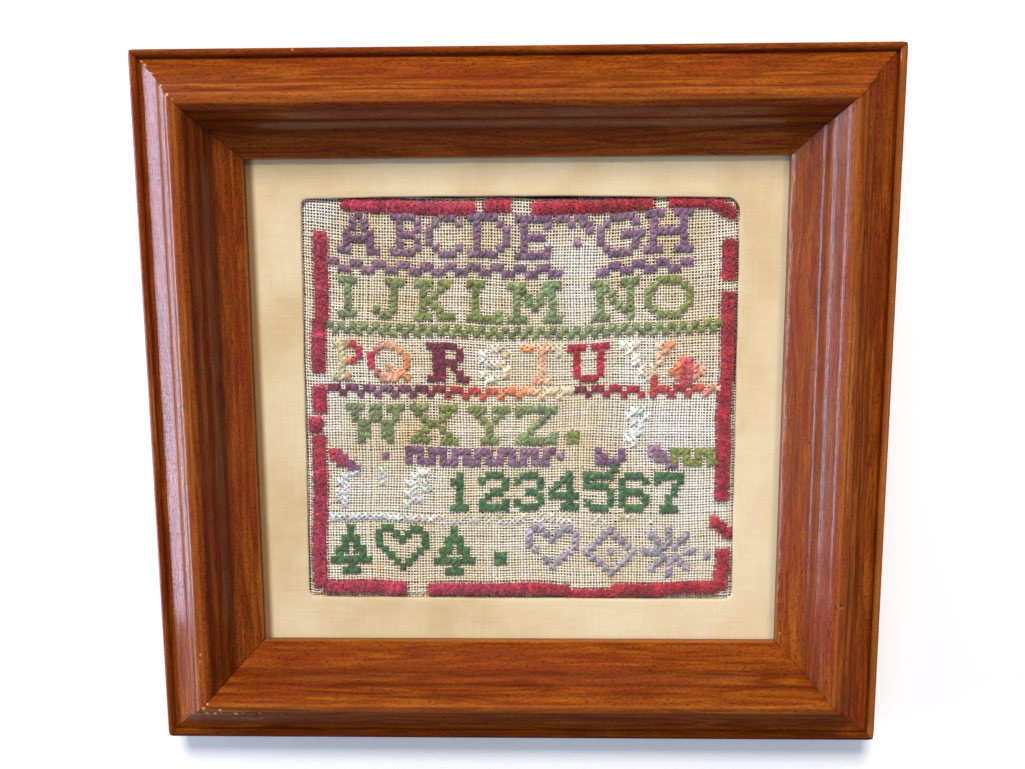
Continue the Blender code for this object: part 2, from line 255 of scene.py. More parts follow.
# One rail: the outline is carried along its side, each end cut back by u so that the mitres meet, and
# the outer corners drawn in to a worn round: d = r - sqrt(r^2 - t^2), t being how far into the round.
def makeRail(name, turns, material):
    shape, draw = railShape, np.random.default_rng(40 + turns)
    length, across = [(shape["length"], shape["height"]), (shape["height"], shape["length"])][turns % 2]
    half, slip = length / 2, shape["gap"] / 2 * math.sqrt(2)
    startRound, endRound = shape["cornerRounds"][turns], shape["cornerRounds"][(turns + 1) % 4]
    outline, worn, girth, faceCount = railOutline(shape, turns)
    turnBack = [(1, 0, 0, 1), (0, 1, -1, 0), (-1, 0, 0, -1), (0, -1, 1, 0)][turns]
    mine = []
    for x, y, radius, depth, tone in knocks:
        localX, u = turnBack[0] * x + turnBack[1] * y, turnBack[2] * x + turnBack[3] * y + across / 2
        if 0 < u < shape["width"] and abs(localX) < half - u + 1:
            mine.append((localX, u, radius, depth, tone))
    spots = [np.linspace(x - 1.5 * r, x + 1.5 * r, 5) / (half - u) for x, u, r, _, _ in mine]
    shares = np.unique(np.clip(np.concatenate([np.linspace(-1, 1, shape["stations"]), *spots]), -1, 1))
    u, z = outline[:, 0], outline[:, 1]
    x = shares[:, None] * (half - u - slip)[None, :]
    front = z > shape["frontLevel"]
    for _ in range(8):   # the round and the mitre each depend on the other
        intoStart = np.clip(-x - (half - startRound), 0, startRound)
        intoEnd = np.clip(x - (half - endRound), 0, endRound)
        drawnIn = startRound - np.sqrt(startRound ** 2 - intoStart ** 2)
        drawnIn = drawnIn + endRound - np.sqrt(endRound ** 2 - intoEnd ** 2)
        drawnIn = drawnIn * np.exp(-(u / shape["cornerReach"]) ** 2)[None, :]
        x = shares[:, None] * (half - u - slip - drawnIn)
    starts, full, fades, ends = shape["wavered"]
    rise = easeStep(u, starts, full) * front
    free = rise * easeStep(-u, -ends, -fades)
    strayU = waver(x + u * 0.7, shape["waves"][0], draw) * shape["waver"] * free
    strayZ = waver(x - u * 0.9, shape["waves"][1], draw) * shape["waver"] * 0.8 * rise
    y = -across / 2 + u[None, :] + drawnIn + strayU
    height = z[None, :] + strayZ
    tone = np.zeros_like(x)
    for spotX, spotU, radius, depth, shade in mine:
        near = np.exp(-((x - spotX) ** 2 + (u[None, :] - spotU) ** 2) / radius ** 2) * front
        height = height - depth * near
        tone = tone + shade * near
    lip = easeStep(u, shape["width"] - shape["lip"][0], shape["width"] - shape["lip"][1]) * front
    rubbed = lip * (0.5 + 0.35 * waver(x, shape["lipWaves"], draw))
    height = height - shape["lipWorn"][0] * rubbed
    y = y - shape["lipWorn"][1] * rubbed
    place = np.stack([
        turnBack[0] * x + turnBack[2] * y, turnBack[1] * x + turnBack[3] * y, height], -1).reshape(-1, 3)
    cut = np.full_like(x, shape["cutApart"] * turns + shape["cutFrom"])
    grain = np.stack([x, np.broadcast_to(girth, x.shape), cut], -1)
    reach, strength = shape["mitreDirt"]
    atMitre = np.exp(-((half - u[None, :] - np.abs(x)) / reach) ** 2)
    # The wear attribute holds rubbed arrises, dirt and the painted shade of the hollows and beads.
    wearAndShade = np.broadcast_to(worn, x.shape) - strength * atMitre * front
    bare = np.broadcast_to(np.arange(len(u)) >= faceCount, x.shape) * 1.0   # the back is unpolished
    piece = newPiece(
        name, place * mm, tubeFaces(1, len(shares), len(u)), material, {
            "grain": grain.reshape(-1, 3) * mm, "wearAndShade": wearAndShade.ravel(),
            "knock": tone.ravel(), "bare": bare.ravel()}, sharpAngle=38)
    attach(piece, "root")
    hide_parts(name)


polish = {
    "deep": "#702f09", "body": "#863f0b", "light": "#9b5312", "red": "#853214",
    "dirtAndShade": "#341005", "rubbed": "#c6863f", "bareWood": "#d6a673", "unpolished": "#7a5236",
    # Width, length, detail and bend of each pattern, the first two in mm. Real pores are near 0.15 mm
    # wide, and are drawn wider to show.
    "figure": (3.6, 46.0, 3.0, 1.6), "streak": (0.5, 8.0, 3.0, 0.7),
    "pore": (0.3, 1.7, 1.0, 0.5), "patch": (26.0, 70.0, 2.0, 0.0),
    "plankDepth": 9.0,   # mm over which the patterns change from plank to plank
}


# French-polished mahogany: red-brown bands and streaks along the rail, dark open pores, dirt held in the
# quirks, painted shade in the hollows, arrises rubbed to gold, and a thin glossy coat that takes the window's
# cool light.
def mahoganyMaterial():
    p = polish
    material, tree, shader = newMaterial("frenchPolishedMahogany", {
        "Roughness": 0.45, "IOR": 1.5, "Specular IOR Level": 0.1,
        "Coat Weight": 0.5, "Coat Roughness": 0.12, "Coat IOR": 1.5})
    grain = addNode(tree, "Attribute", {"attribute_name": "grain"}).outputs["Vector"]
    wearAndShade, knock, bare = (addNode(tree, "Attribute", {"attribute_name": name}).outputs["Fac"]
                         for name in ("wearAndShade", "knock", "bare"))
    noises = {}
    for key in ("figure", "streak", "pore", "patch"):
        width, length, detail, bend = p[key]
        scaled = addNode(tree, "Mapping", {
            "Scale": [1 / (size * mm) for size in (length, width, p["plankDepth"])]}, {"Vector": grain})
        noises[key] = addNode(tree, "TexNoise", {"Scale": 1.0, "Detail": detail, "Distortion": bend},
                              {"Vector": scaled.outputs[0]}).outputs["Fac"]
    wood = addNode(tree, "ValToRGB", None, {"Fac": noises["figure"]}, [
        (0.34, linear(p["deep"])), (0.5, linear(p["body"])), (0.68, linear(p["light"]))])
    redder = addNode(tree, "MapRange", {"From Min": 0.45, "From Max": 0.7, "To Max": 0.65},
                     {"Value": noises["patch"]})
    wood = addNode(tree, "Mix", {"data_type": "RGBA", 7: linear(p["red"])},
                   {0: redder.outputs[0], 6: wood.outputs[0]})
    streak = addNode(tree, "MapRange", {"From Min": 0.3, "From Max": 0.72, "To Min": 0.84, "To Max": 1.13},
                     {"Value": noises["streak"]})
    streaked = addNode(tree, "Mix", {"data_type": "RGBA", "blend_type": "MULTIPLY", 0: 1.0},
                       {6: wood.outputs[2], 7: streak.outputs[0]})
    pore = addNode(tree, "MapRange", {"From Min": 0.55, "From Max": 0.65, "To Max": 0.7},
                   {"Value": noises["pore"]})
    colour = addNode(tree, "Mix", {"data_type": "RGBA", 7: linear(p["dirtAndShade"])},
                     {0: pore.outputs[0], 6: streaked.outputs[2]})
    ragged = addNode(tree, "MapRange", {"From Min": 0.3, "From Max": 0.7, "To Min": 0.35, "To Max": 1.5},
                     {"Value": noises["pore"]})
    flaked = addNode(tree, "Math", {"operation": "MULTIPLY"}, {0: knock, 1: ragged.outputs[0]})
    # The dirt layer over the wear attribute carries real dirt and the painted shade of the hollows and beads.
    for hue, source, start, full, strength in (   # each lies over the ones before it
            ("rubbed", wearAndShade, 0.25, 1.0, 0.24), ("dirtAndShade", wearAndShade, -0.1, -1.4, 0.62),
            ("bareWood", flaked.outputs[0], 0.3, 0.55, 0.9), ("dirtAndShade", knock, -0.25, -0.7, 0.85),
            ("unpolished", bare, 0.0, 1.0, 0.8)):
        shown = addNode(tree, "MapRange", {"From Min": start, "From Max": full, "To Max": strength},
                        {"Value": source})
        colour = addNode(tree, "Mix", {"data_type": "RGBA", 7: linear(p[hue])},
                         {0: shown.outputs[0], 6: colour.outputs[2]})
    tree.links.new(colour.outputs[2], shader.inputs["Base Color"])
    rough = addNode(tree, "MapRange", {"From Min": 0.3, "From Max": 0.7, "To Min": 0.34, "To Max": 0.52},
                    {"Value": noises["streak"]})
    tree.links.new(rough.outputs[0], shader.inputs["Roughness"])
    for socket, depth, strength, distance in (   # the pores sink in the wood, and less in its coat
            ("Normal", -1.6, 0.5, 0.05), ("Coat Normal", -0.5, 0.9, 0.04)):
        relief = addNode(tree, "Math", {"operation": "MULTIPLY_ADD", 1: depth},
                         {0: pore.outputs[0], 2: noises["streak"]})
        bump = addNode(tree, "Bump", {"Strength": strength, "Distance": distance * mm},
                       {"Height": relief.outputs[0]})
        tree.links.new(bump.outputs[0], shader.inputs[socket])
    return material


mahogany = mahoganyMaterial()
for turns, name in enumerate(("rail_bottom", "rail_right", "rail_top", "rail_left")):
    makeRail(name, turns, mahogany)
print("rails run and mitred")

# Mount covered in cream cloth

mountShape = {
    "corners": ((-92.1, 90.3), (95.1, 89.7), (96.1, -88.4), (-94.7, -87.7)),   # mm, window, from top left
    "cornerRounds": (3.0, 5.5, 3.2, 3.4), "top": 8.7, "bottom": 6.9, "edgeRound": 0.75,
    "bow": (0.9, 0.1, 0.2, 0.1),           # mm out at the middle: top, right, bottom, left
    "waver": 0.16, "girth": 730.0, "waves": (146, 52.14, 24.33),   # mm, round the window
    "outerWidth": 242.2, "outerHeight": 225.2, "perSide": 46, "perCorner": 8,
    "underEdge": 0.3,                      # mm that the cloth goes on round the edge
}


# The window's outline in mm, as points along four slightly bowed sides and round four corners.
def windowOutline(shape):
    corners = np.array(shape["corners"])
    points = []
    for i in range(4):
        corner, before, after = corners[i], corners[i - 1], corners[(i + 1) % 4]
        come, go = unit(corner - before), unit(after - corner)
        turn = math.acos(np.clip(come @ go, -1, 1))
        reach = shape["cornerRounds"][i] * math.tan(turn / 2)
        start, end = corner - come * reach, corner + go * reach
        t = np.linspace(0, 1, shape["perCorner"] + 1)[:, None]
        weight = 1 / math.sqrt(2)   # a rational quadratic with this weight is a quarter circle
        top = (1 - t) ** 2 * start + 2 * t * (1 - t) * weight * corner + t ** 2 * end
        points.append(top / ((1 - t) ** 2 + 2 * t * (1 - t) * weight + t ** 2))
        nextStart = after - go * shape["cornerRounds"][(i + 1) % 4]
        side = np.linspace(end, nextStart, shape["perSide"])
        bow = shape["bow"][i] * (1 - np.linspace(-1, 1, shape["perSide"]) ** 2)
        points.append((side + bow[:, None] * np.array([-go[1], go[0]]))[1:-1])
    return np.concatenate(points)


# The mount: rings run from its outer edge over the face, round the soft edge of the window and back
# underneath. Each ring lies a share of the way from the outer rectangle to the window's outline.
def makeMount(material):
    shape, draw = mountShape, np.random.default_rng(7)
    window = windowOutline(shape)
    angle = np.arctan2(window[:, 1], window[:, 0])
    around = np.linspace(0, shape["girth"], len(window), endpoint=False)
    window = window + np.stack([np.cos(angle), np.sin(angle)], -1) * (
        waver(around, shape["waves"], draw)[:, None] * shape["waver"])
    wide, high = shape["outerWidth"] / 2, shape["outerHeight"] / 2
    corners = np.array(shape["corners"])
    centred = window - corners.mean(0)
    reachX, reachY = np.abs(corners[:, 0]).mean(), np.abs(corners[:, 1]).mean()
    share = np.maximum(np.abs(centred[:, 0]) / reachX, np.abs(centred[:, 1]) / reachY)
    outer = np.clip(centred / share[:, None] / (reachX, reachY), -1, 1) * (wide, high)
    top, bottom, soft, under = shape["top"], shape["bottom"], shape["edgeRound"], shape["underEdge"]
    inward = unit(outer - window)   # into the board
    rings = [(outer, bottom)]
    for t in np.linspace(0, 1, 12):
        rings.append((outer + (window + inward * soft - outer) * t, top))
    for a in np.radians((22.5, 45, 67.5, 90)):
        rings.append((window + inward * soft * (1 - math.sin(a)), top - soft * (1 - math.cos(a))))
    rings.append((window, bottom + under))
    rings.append((window + inward * under, bottom))
    points = np.stack([np.concatenate([ring, np.full((len(ring), 1), z)], 1) for ring, z in rings])
    index = np.arange(points.shape[0] * points.shape[1]).reshape(points.shape[:2])
    below, beside = np.roll(index, -1, axis=0), np.roll(index, -1, axis=1)
    quads = np.stack([index, beside, np.roll(below, -1, axis=1), below], -1).reshape(-1, 4)
    piece = newPiece("mount_board", points.reshape(-1, 3) * mm, [quads], material, sharpAngle=50)
    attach(piece, "root")
    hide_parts("mount_board")


mountCloth = {
    "cream": "#d9c8a4", "tan": "#d0ba91", "pale": "#dfd0b1",
    "thread": 0.8, "blotch": 1 / 0.026,   # mm; real thread is finer, and is drawn coarser to show
    "leftShadow": "#77552a", "leftShadowWide": 4.8, "leftShadowShare": 0.92,     # mm of painted brown shadow beside the left rail
    "rightShade": "#a9a796", "rightShadeWide": 3.6, "rightShadeShare": 0.45,     # and of painted grey shade beside the right one
    "sightEdge": 115.4,   # mm from the middle
}


# Cream cotton bookcloth: a tight plain weave that shows as faint crossed ribs, matt, yellowed unevenly,
# with painted brown shadow where it meets the left rail and painted grey shade where it meets the right one.
def mountMaterial():
    c = mountCloth
    material, tree, shader = newMaterial("creamBookcloth", {
        "Roughness": 0.88, "Sheen Weight": 0.15, "Sheen Roughness": 0.5, "Specular IOR Level": 0.25})
    place = addNode(tree, "TexCoord").outputs["Object"]
    blotch = addNode(tree, "TexNoise", {
        "Scale": 1 / (c["blotch"] * mm), "Detail": 4.0, "Roughness": 0.55}, {"Vector": place})
    tone = addNode(tree, "ValToRGB", None, {"Fac": blotch.outputs["Fac"]}, [
        (0.33, linear(c["tan"])), (0.52, linear(c["cream"])), (0.7, linear(c["pale"]))])
    ribs = []
    for stretch in ((1.0, 0.035, 1.0), (0.05, 0.6, 1.0)):
        mapped = addNode(tree, "Mapping", {"Scale": [s / (c["thread"] * mm) for s in stretch]},
                         {"Vector": place})
        ribs.append(addNode(tree, "TexNoise", {"Scale": 1.0, "Detail": 2.0}, {"Vector": mapped.outputs[0]}))
    weave = addNode(tree, "Math", {"operation": "ADD"},
                    {0: ribs[0].outputs["Fac"], 1: ribs[1].outputs["Fac"]})
    shade = addNode(tree, "MapRange", {"From Min": 0.7, "From Max": 1.3, "To Min": 0.965, "To Max": 1.03},
                    {"Value": weave.outputs[0]})
    colour = addNode(tree, "Mix", {"data_type": "RGBA", "blend_type": "MULTIPLY", 0: 1.0},
                     {6: tone.outputs[0], 7: shade.outputs[0]})
    across = addNode(tree, "SeparateXYZ", None, {"Vector": place}).outputs[0]
    # Painted shadow: a brown strip beside the left rail and a grey one beside the right rail.
    for hue, side in (("leftShadow", -1), ("rightShade", 1)):
        edge, wide = side * c["sightEdge"] * mm, side * c[hue + "Wide"] * mm
        near = addNode(tree, "MapRange", {
            "interpolation_type": "SMOOTHSTEP", "From Min": edge - wide, "From Max": edge - wide * 0.35,
            "To Max": c[hue + "Share"]}, {"Value": across})
        colour = addNode(tree, "Mix", {"data_type": "RGBA", 7: linear(c[hue])},
                         {0: near.outputs[0], 6: colour.outputs[2]})
    tree.links.new(colour.outputs[2], shader.inputs["Base Color"])
    bump = addNode(tree, "Bump", {"Strength": 0.6, "Distance": 0.08 * mm}, {"Height": weave.outputs[0]})
    tree.links.new(bump.outputs[0], shader.inputs["Normal"])
    return material


makeMount(mountMaterial())
print("mount covered")

# Canvas of paired threads

canvasShape = {
    "columns": 73.5, "rows": 71.4,       # pairs of threads across the window
    "pitch": (2.585, 2.5),               # mm from one column, and one row, to the next
    "pairSpread": 0.25,                  # each thread lies this share of a pair from the pair's middle
    "threadWidth": 0.67, "threadHeight": 0.5, "rise": 0.2,   # mm
    "crown": 0.62,                       # share of a thread's height that is over its middle
    "faceZ": 7.5, "ripple": 0.16,
    "drop": 1.7, "roll": 2.6, "cornerEase": 0.35,   # mm down at the window's edge, and mm over which
    "sag": 4.6, "sagRow": 11, "sagReach": 24,   # the rows bow down between the sides, most at sagRow
    "overlap": 3.7,                      # mm under the mount
    "flat": (0.1995, 0.187),             # m, the piece as cut and stretched
}


# Where a column and row of the canvas lie in mm: a blend of the window's corners, bowed and wavered.
def onCanvas(column, row):
    c = canvasShape
    topLeft, topRight, bottomRight, bottomLeft = np.array(mountShape["corners"])
    a, b = (column / c["columns"])[..., None], (row / c["rows"])[..., None]
    place = (topLeft * (1 - a) + topRight * a) * (1 - b) + (bottomLeft * (1 - a) + bottomRight * a) * b
    bow = c["sag"] * np.exp(-((row - c["sagRow"]) / c["sagReach"]) ** 2)
    bow = bow * (1 - np.clip(2 * a[..., 0] - 1, -1, 1) ** 2)
    strayX = 0.34 * np.sin(row / 6.1 + column / 17.0) + 0.2 * np.sin(row / 2.7 + 1.1 + column / 8.0)
    strayY = 0.34 * np.sin(column / 5.3 + row / 13.0 + 2.0) + 0.24 * np.sin(column / 2.3 + row / 7.0)
    return place + np.stack([strayX, strayY - bow], -1)


# Height of the cloth's face in mm: slow ripples, as on the frame's own solid, turned down close to the
# window's edges.
def clothHeight(x, y):
    c, corners = canvasShape, np.array(mountShape["corners"])
    topLeft, topRight, bottomRight, bottomLeft = corners
    def inside(low, high, across, along):
        share = ((y if along else x) - low[along]) / (high[along] - low[along])
        return (y if across else x) - (low[across] + share * (high[across] - low[across]))
    sides = np.stack([inside(bottomLeft, topLeft, 0, 1), -inside(bottomRight, topRight, 0, 1),
                      inside(bottomLeft, bottomRight, 1, 0), -inside(topLeft, topRight, 1, 0)])
    sides = np.sort(sides, axis=0)
    rollDown = easeStep(1 - sides[:2] / c["roll"], 0, 1)
    stay = (1 - rollDown[0]) * (1 - c["cornerEase"] * rollDown[1])
    ripple = np.sin(x / 13.0 + 0.7) * np.cos(y / 17.0) + 0.6 * np.sin(x / 31.0 + y / 9.0 + 1.9)
    return c["faceZ"] - c["drop"] * (1 - stay) + c["ripple"] * ripple * stay


# Stains and bleached patches, in columns and rows: middle, reach and strength.
soiled = ((9, 5, 7, 0.5), (16, 9, 5, 0.7), (30, 7, 6, 0.5), (62, 7, 8, 0.6), (14, 18, 6, 0.5),
          (26, 29, 5, 0.5), (37, 19, 5, 0.4), (68, 22, 7, 0.5), (40, 30, 8, 0.3), (20, 41, 5, 0.8),
          (33, 53, 9, 0.3), (12, 46, 7, 0.5), (50, 45, 7, 0.5), (20, 66, 8, 0.4), (52, 64, 10, 0.35),
          (68, 30, 5, 0.3))
bleached = ((3, 2, 3.0, 1.0), (47, 9, 3.5, 0.8), (46, 14, 3.0, 0.7), (4, 33, 3.5, 1.0), (3, 38, 3.0, 0.9),
            (64, 40, 8, 0.8), (58, 41, 5, 0.6), (10, 50, 5, 0.5), (20, 50, 4, 0.5), (31, 27, 4, 0.5),
            (1.5, 48, 2.5, 0.8), (66, 52, 6, 0.5), (57, 26, 5, 0.4), (2, 62, 2.5, 0.6), (40, 57, 8, 0.35))


# Soil and bleach at columns and rows, each the largest of its round patches, with ragged edges.
def patches(column, row, table):
    ragged = 1 + 0.3 * np.sin(column * 1.3 + row * 0.7) * np.sin(row * 1.1 - column * 0.4)
    total = np.zeros_like(column)
    for middle, level, reach, strength in table:
        far = ((column - middle) ** 2 + (row - level) ** 2) / (reach * ragged) ** 2
        total = np.maximum(total, strength * np.exp(-far))
    return total


# Threads of one direction. Each is a three-sided tube, flat below and crowned above, that rises over
# every other thread it crosses: z = middle + rise * (-1)^(own number + crossing number).
def makeThreads(name, upright, material, seed):
    c, draw = canvasShape, np.random.default_rng(seed)
    reachX, reachY = c["overlap"] / c["pitch"][0], c["overlap"] / c["pitch"][1]
    def threadPlaces(count, reach):
        pairs = np.arange(-3, math.ceil(count) + 3)[:, None] + 0.5
        places = (pairs + np.array([-1, 1]) * c["pairSpread"]).ravel()
        return places[(places > -reach) & (places < count + reach)]
    columns, rows = threadPlaces(c["columns"], reachX), threadPlaces(c["rows"], reachY)
    own, crossing = (columns, rows) if upright else (rows, columns)
    ends = (-reachY, c["rows"] + reachY) if upright else (-reachX, c["columns"] + reachX)
    stations = np.concatenate([[ends[0]], crossing, [ends[1]]])
    numbers = np.arange(len(own))[:, None] + np.arange(len(stations))[None, :]
    over = (-1.0) ** (numbers + (0 if upright else 1))
    over[:, [0, -1]] = 0
    stray = draw.normal(0, 0.025, (len(own), len(stations)))
    stray = stray + draw.normal(0, 0.03, (len(own), 1))
    a = own[:, None] + stray
    b = np.broadcast_to(stations, a.shape)
    column, row = (a, b) if upright else (b, a)
    middle = onCanvas(column, row)
    across = unit(onCanvas(*((column + 0.1, row) if upright else (column, row + 0.1))) - middle)
    width = c["threadWidth"] * (1 + draw.normal(0, 0.09, (len(own), 1)) + draw.normal(0, 0.1, a.shape))
    base = clothHeight(middle[..., 0], middle[..., 1]) - c["rise"] - c["threadHeight"] * c["crown"]
    z = base + c["rise"] * over
    rings = []
    for side, up in ((-0.5, c["crown"] - 1), (0.5, c["crown"] - 1), (0.0, c["crown"])):
        flat = middle + across * (width * side)[..., None]
        rings.append(np.concatenate([flat, (z + up * c["threadHeight"])[..., None]], -1))
    points = np.stack(rings, 2)
    tone = draw.uniform(*((0.0, 0.8) if upright else (0.3, 1.0)), (len(own), 1))   # the weft is darker
    soil = np.stack([patches(column, row, soiled), patches(column, row, bleached),
                     np.broadcast_to(tone, a.shape)], -1)
    soil = np.repeat(soil[:, :, None], 3, axis=2)
    piece = newPiece(name, points.reshape(-1, 3) * mm, tubeFaces(len(own), len(stations), 3), material,
                     {"soil": soil.reshape(-1, 3)})
    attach(piece, "root")
    return piece


thread = {
    "cream": "#fffdf6", "shade": "#f3e5c3", "stain": "#ebd5a6", "bleach": "#fcfefd",
    "fibre": 1 / 2.6, "cloud": 1 / 0.09,   # mm; real fibres are near 0.02 mm, drawn coarser to show
}


# Cotton canvas thread: matt, off-white, its fibres drawn as fine streaks, tea-brown where stained and
# bluish white where it was scrubbed.
def canvasMaterial():
    material, tree, shader = newMaterial("cottonCanvasThread", {
        "Roughness": 0.9, "Sheen Weight": 0.2, "Sheen Roughness": 0.6, "Specular IOR Level": 0.2})
    soil = addNode(tree, "Attribute", {"attribute_name": "soil"})
    parts = addNode(tree, "SeparateXYZ", None, {"Vector": soil.outputs["Vector"]})
    place = addNode(tree, "TexCoord").outputs["Object"]
    fibre, cloud = (addNode(tree, "TexNoise", {"Scale": 1 / (thread[key] * mm), "Detail": detail},
                            {"Vector": place}) for key, detail in (("fibre", 2.0), ("cloud", 3.0)))
    mixed = addNode(tree, "Math", {"operation": "MULTIPLY_ADD", 1: 0.6},
                    {0: parts.outputs[2], 2: cloud.outputs["Fac"]})
    tone = addNode(tree, "MapRange", {"From Min": 0.55, "From Max": 1.15}, {"Value": mixed.outputs[0]})
    colour = addNode(tree, "Mix", {
        "data_type": "RGBA", 6: linear(thread["cream"]), 7: linear(thread["shade"])}, {0: tone.outputs[0]})
    for hue, share in (("stain", parts.outputs[0]), ("bleach", parts.outputs[1])):
        colour = addNode(tree, "Mix", {"data_type": "RGBA", 7: linear(thread[hue])},
                         {0: share, 6: colour.outputs[2]})
    streak = addNode(tree, "MapRange", {"From Min": 0.3, "From Max": 0.7, "To Min": 0.86, "To Max": 1.06},
                     {"Value": fibre.outputs["Fac"]})
    colour = addNode(tree, "Mix", {"data_type": "RGBA", "blend_type": "MULTIPLY", 0: 1.0},
                     {6: colour.outputs[2], 7: streak.outputs[0]})
    tree.links.new(colour.outputs[2], shader.inputs["Base Color"])
    bump = addNode(tree, "Bump", {"Strength": 0.5, "Distance": 0.06 * mm}, {"Height": fibre.outputs["Fac"]})
    tree.links.new(bump.outputs[0], shader.inputs["Normal"])
    return material


cotton = canvasMaterial()
warp = makeThreads("canvas_warp", True, cotton, 3)
weft = makeThreads("canvas_weft", False, cotton, 4)
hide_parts("sampler_cloth")
print("canvas woven")

# Wool cross stitches

wools = {
    "purple": "#82617f", "plum": "#8e7187", "olive": "#858f4c", "sage": "#7e926c", "darkGreen": "#476f49",
    "raspberry": "#bb3f5b", "crimson": "#b02f3e", "scarlet": "#bf4a48", "maroon": "#763043",
    "orange": "#e69560", "peach": "#eab79a", "tan": "#dccaa4", "straw": "#e9e2c8", "oldWhite": "#e6e7e2",
    "paleBlue": "#d5e1e8", "lilac": "#a19ba8", "oliveCream": "#d3cea6",
}

woolShape = {
    "halfWidth": 0.9, "halfHeight": 0.62,    # mm, one strand pressed flat on the canvas
    "lowerLift": 0.25, "upperLift": 0.6,     # mm that an arm's middle stands over the canvas's face
    "dive": 0.5,                             # mm that an arm's ends go down in the holes
    "spill": 0.1,                            # share of its length that an arm runs past each hole
    "armStray": 0.13, "lineStray": 0.1,      # mm that an arm, and each point of it, lies off its place
    "taper": 0.4, "twist": 0.8, "ply": 0.2, "lumps": 0.1, "stations": 6, "sides": 8,
    "wornLift": 0.75, "wornWidth": 0.72, "wornHeight": 0.45,   # share that full wear takes away
    "crossedBack": 0.35,                     # share of crosses whose arms lie the other way
    "hairs": 28, "flare": 1.6,               # loose fibres of each cross, and how they splay at its ends
    "hairLength": 0.85, "hairWidth": 0.42,   # mm, drawn thick enough to show
}

# The border's stitches are fatter, two holes wide and so fluffy that they run together.
borderShape = {**woolShape, "halfWidth": 1.2, "spill": -0.05, "taper": 0.16, "ply": 0.12,
               "dive": 0.3, "hairs": 130, "flare": 2.2, "hairLength": 1.8, "hairWidth": 0.36}

# Charts from the top: # is a stitch. Block letters, numerals and small motifs, one stitch to a stroke.
charts = {
    "A": "...#... ..#.#.. ..#.#.. .#...#. .#####. .#...#. ##...##",
    "B": "####. .#..# .#..# .###. .#..# .#..# ####.",
    "C": "..###. .#...# #..... #..... #..... .#...# ..###.",
    "D": "#####.. .#...#. .#....# .#....# .#....# .#...#. #####..",
    "E": "###### .#...# .#.... .####. .#.... .#...# ######",
    "F": "##.##. ..#.## .....# ...... ...#.. ...... ......",
    "G": "..####.. .#....#. #....... #...#### #.....#. .#....#. ..####..",
    "H": "###..### .#....#. .#....#. .######. .#....#. .#....#. ###..###",
    "I": "### .#. .#. .#. .#. .#. ###",
    "J": "..### ...#. ...#. ...#. ...#. #..#. .##..",
    "K": "###.##. .#..#.. .#.#... .##.... .#.#... .#..#.. ###.###",
    "L": "###... .#.... .#.... .#.... .#.... .#...# ######",
    "M": "###...### .##...##. .#.#.#.#. .#.#.#.#. .#..#..#. .#.....#. ###...###",
    "N": "###..### .##...#. .#.#..#. .#.#..#. .#..#.#. .#...##. ###...#.",
    "O": "..####.. .#....#. #......# #......# #......# .#....#. ..####..",
    "P": "####. .#..# .#..# .###. .#... .#... ###..",
    "Q": "..###.. .#...#. #.....# #.....# #..#..# .#..##. ..###.#",
    "R": "#####.. .##..#. .##..#. .####.. .##.#.. .##..#. ###..##",
    "S": ".###. #...# #.... .###. ....# #...# .###.",
    "T": "####### #..#..# ...#... ...#... ...#... ...#... ..###..",
    "U": "###.### .#...#. .#...#. .#...#. .#...#. .#...#. ..###..",
    "V": "###...### .#.....#. ..#...#.. ..#...#.. ...#.#... ...#.#... ....#....",
    "W": "###.##.### .#..##..#. .#..##..#. ..##..##.. ..##..##.. ..##..##.. ..#....#..",
    "X": "###..### .#....#. ..#..#.. ...##... ..#..#.. .#....#. ###..###",
    "Y": "###.### .#...#. ..#.#.. ...#... ...#... ...#... ..###..",
    "Z": "####### #....#. ....#.. ...#... ..#.... .#....# #######",
    "1": "..#.. .##.. ..#.. ..#.. ..#.. ..#.. .###.",
    "2": ".###. #...# ....# ..##. .#... #...# #####",
    "3": ".###. #...# ....# ..##. ....# #...# .###.",
    "4": "...#. ..##. .#.#. #..#. ##### ...#. ..###",
    "5": "##### #.... ####. ....# ....# #...# .###.",
    "6": ".###. #...# #.... ####. #...# #...# .###.",
    "7": "##### #...# ...#. ...#. ..#.. ..#.. .###.",
    "tree": "...#... ...#... ..###.. ..#.#.. .##.##. .#...#. ####### ...#... ..###..",
    "heart": ".##...##. #..#.#..# #...#...# #.......# .#.....#. ..#...#.. ...#.#... ....#....",
    "diamond": "....#.... ...#.#... ..#...#.. .#.....#. #...#...# .#.....#. ..#...#.. ...#.#... ....#....",
    "star": "....#.... .#..#..#. ..#.#.#.. ...#.#... ###...### ...#.#... ..#.#.#.. .#..#..#. ....#....",
    "cross": "..##.. .####. ###### .####. ..##..",
    "spot": "## ##",
    "one": "#",
    "bar": "# # #",
    "hook": "...# #..# ###.",
    "slope": "##... ###.. .###. ...##",
    "flake": "..##. .#... ##.#. .#.## ##... .##.. #....",
    "worn": "..##. .#..# ..##. ...#. ..##. .##.. ..#..",
    "wornTall": "..##. .#... ##... .#... ##... ##... .#...",
}

